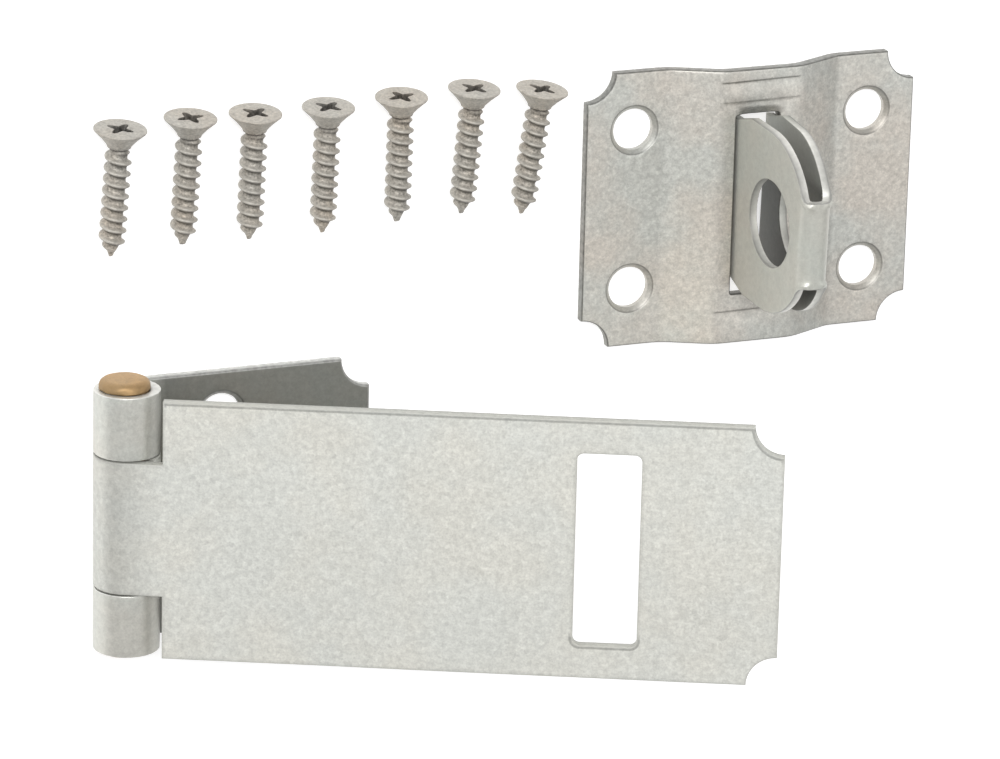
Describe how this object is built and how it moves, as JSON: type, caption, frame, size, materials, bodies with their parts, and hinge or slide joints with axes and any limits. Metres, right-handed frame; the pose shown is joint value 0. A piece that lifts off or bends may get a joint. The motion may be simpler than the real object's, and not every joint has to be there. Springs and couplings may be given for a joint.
{
  "type": "hasp and staple",
  "caption": "Hinged safety hasp: a slotted strap on a fixed leaf with a brass pin, a raised padlock staple on its plate, and loose countersunk wood screws.",
  "frame": {"origin": "middle of the leaf's pair of screw holes, on the leaf's back face", "axes": "+X from the hinge towards the strap's free end, +Y along the hinge pin, +Z away from the mounting surface"},
  "size_m": [0.1482, 0.0931, 0.0566],
  "materials": {
    "leaf_steel": "galvanised, slightly darker",
    "pin_brass": "plain brass",
    "strap_steel": "galvanised with a fine spangle",
    "plate_steel": "galvanised with a warm mottle",
    "loop_steel": "galvanised",
    "screw_zinc": "matte zinc plate"
  },
  "bodies": {
    "leaf": {"hinge_leaf": "leaf_steel", "hinge_pin": "pin_brass"},
    "strap": {"hasp_strap": "strap_steel"},
    "staple": {"staple_plate": "plate_steel", "staple_loop": "loop_steel"},
    "screw_1": {"screw_1": "screw_zinc"},
    "screw_2": {"screw_2": "screw_zinc"},
    "screw_3": {"screw_3": "screw_zinc"},
    "screw_4": {"screw_4": "screw_zinc"},
    "screw_5": {"screw_5": "screw_zinc"},
    "screw_6": {"screw_6": "screw_zinc"},
    "screw_7": {"screw_7": "screw_zinc"}
  },
  "joints": [
    {"name": "strap_hinge", "type": "hinge", "parent": "leaf", "child": "strap", "pos_m": [-0.0177, 0, 0.0056], "axis": [0, -1, 0], "range_deg": [-25, 155]},
    {"name": "staple_lift", "type": "slide", "parent": "leaf", "child": "staple", "axis": [0, 0.7071, 0.7071], "range_m": [0, 0.09]},
    {"name": "screw_1_lift", "type": "slide", "parent": "leaf", "child": "screw_1", "axis": [0, 0, 1], "range_m": [0, 0.06]},
    {"name": "screw_2_lift", "type": "slide", "parent": "leaf", "child": "screw_2", "axis": [0, 0, 1], "range_m": [0, 0.06]},
    {"name": "screw_3_lift", "type": "slide", "parent": "leaf", "child": "screw_3", "axis": [0, 0, 1], "range_m": [0, 0.06]},
    {"name": "screw_4_lift", "type": "slide", "parent": "leaf", "child": "screw_4", "axis": [0, 0, 1], "range_m": [0, 0.06]},
    {"name": "screw_5_lift", "type": "slide", "parent": "leaf", "child": "screw_5", "axis": [0, 0, 1], "range_m": [0, 0.06]},
    {"name": "screw_6_lift", "type": "slide", "parent": "leaf", "child": "screw_6", "axis": [0, 0, 1], "range_m": [0, 0.06]},
    {"name": "screw_7_lift", "type": "slide", "parent": "leaf", "child": "screw_7", "axis": [0, 0, 1], "range_m": [0, 0.06]}
  ]
}
